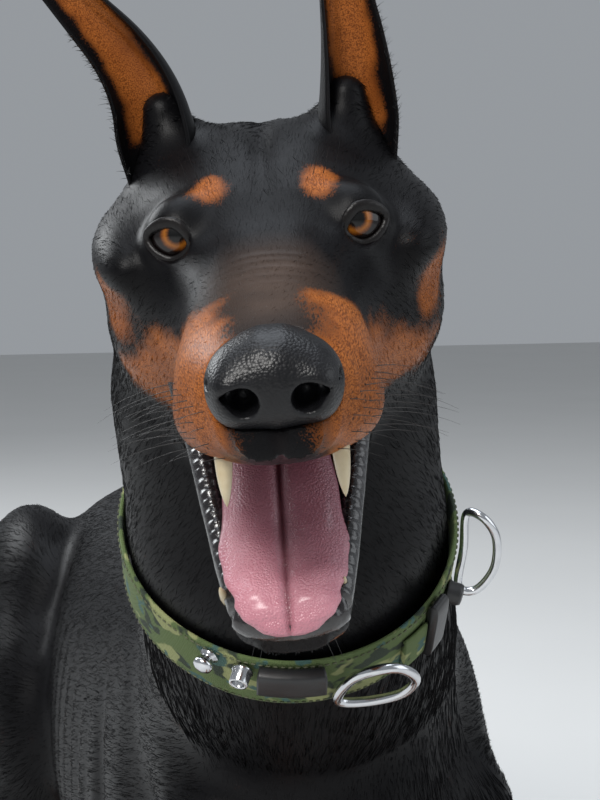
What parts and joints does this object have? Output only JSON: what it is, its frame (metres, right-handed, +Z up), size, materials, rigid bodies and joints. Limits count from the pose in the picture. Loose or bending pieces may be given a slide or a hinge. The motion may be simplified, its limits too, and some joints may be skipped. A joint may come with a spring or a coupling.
{
  "type": "doberman pinscher dog",
  "caption": "Doberman pinscher lying down with its head up, mouth open and tongue out, wearing a wide collar.",
  "frame": {"origin": "middle of the underside of the part's box, on the floor", "axes": "+Y from nose to tail, +Z up, +X to the dog's left"},
  "size_m": [0.3858, 1.0324, 0.7173],
  "materials": {
    "coat_black": "satin",
    "coat_rust": "satin",
    "nose_leather": "satin",
    "tongue_flesh": "gloss",
    "eye_amber": "gloss",
    "webbing": "matte",
    "black_plastic": "satin",
    "steel": "polished"
  },
  "bodies": {
    "root": {"head": "coat_black", "lower_jaw": "coat_black", "tongue": "tongue_flesh", "nose": "nose_leather", "eye_left": "eye_amber", "ear_left": "coat_black", "eye_right": "eye_amber", "ear_right": "coat_black", "neck": "coat_black", "upper_arm_left": "coat_black", "forearm_left": "coat_black", "fore_paw_left": "coat_rust", "thigh_left": "coat_black", "shank_left": "coat_black", "hind_paw_left": "coat_rust", "upper_arm_right": "coat_black", "forearm_right": "coat_black", "fore_paw_right": "coat_rust", "thigh_right": "coat_black", "shank_right": "coat_black", "hind_paw_right": "coat_rust", "torso": "coat_black", "tail": "coat_black", "collar_band": "webbing", "collar_handle": "black_plastic", "collar_keeper": "black_plastic", "collar_strap_tail": "webbing", "collar_stud_outer": "steel", "collar_stud_inner": "steel", "collar_fitting": "black_plastic", "collar_ring": "steel", "collar_d_ring": "steel"}
  },
  "joints": []
}
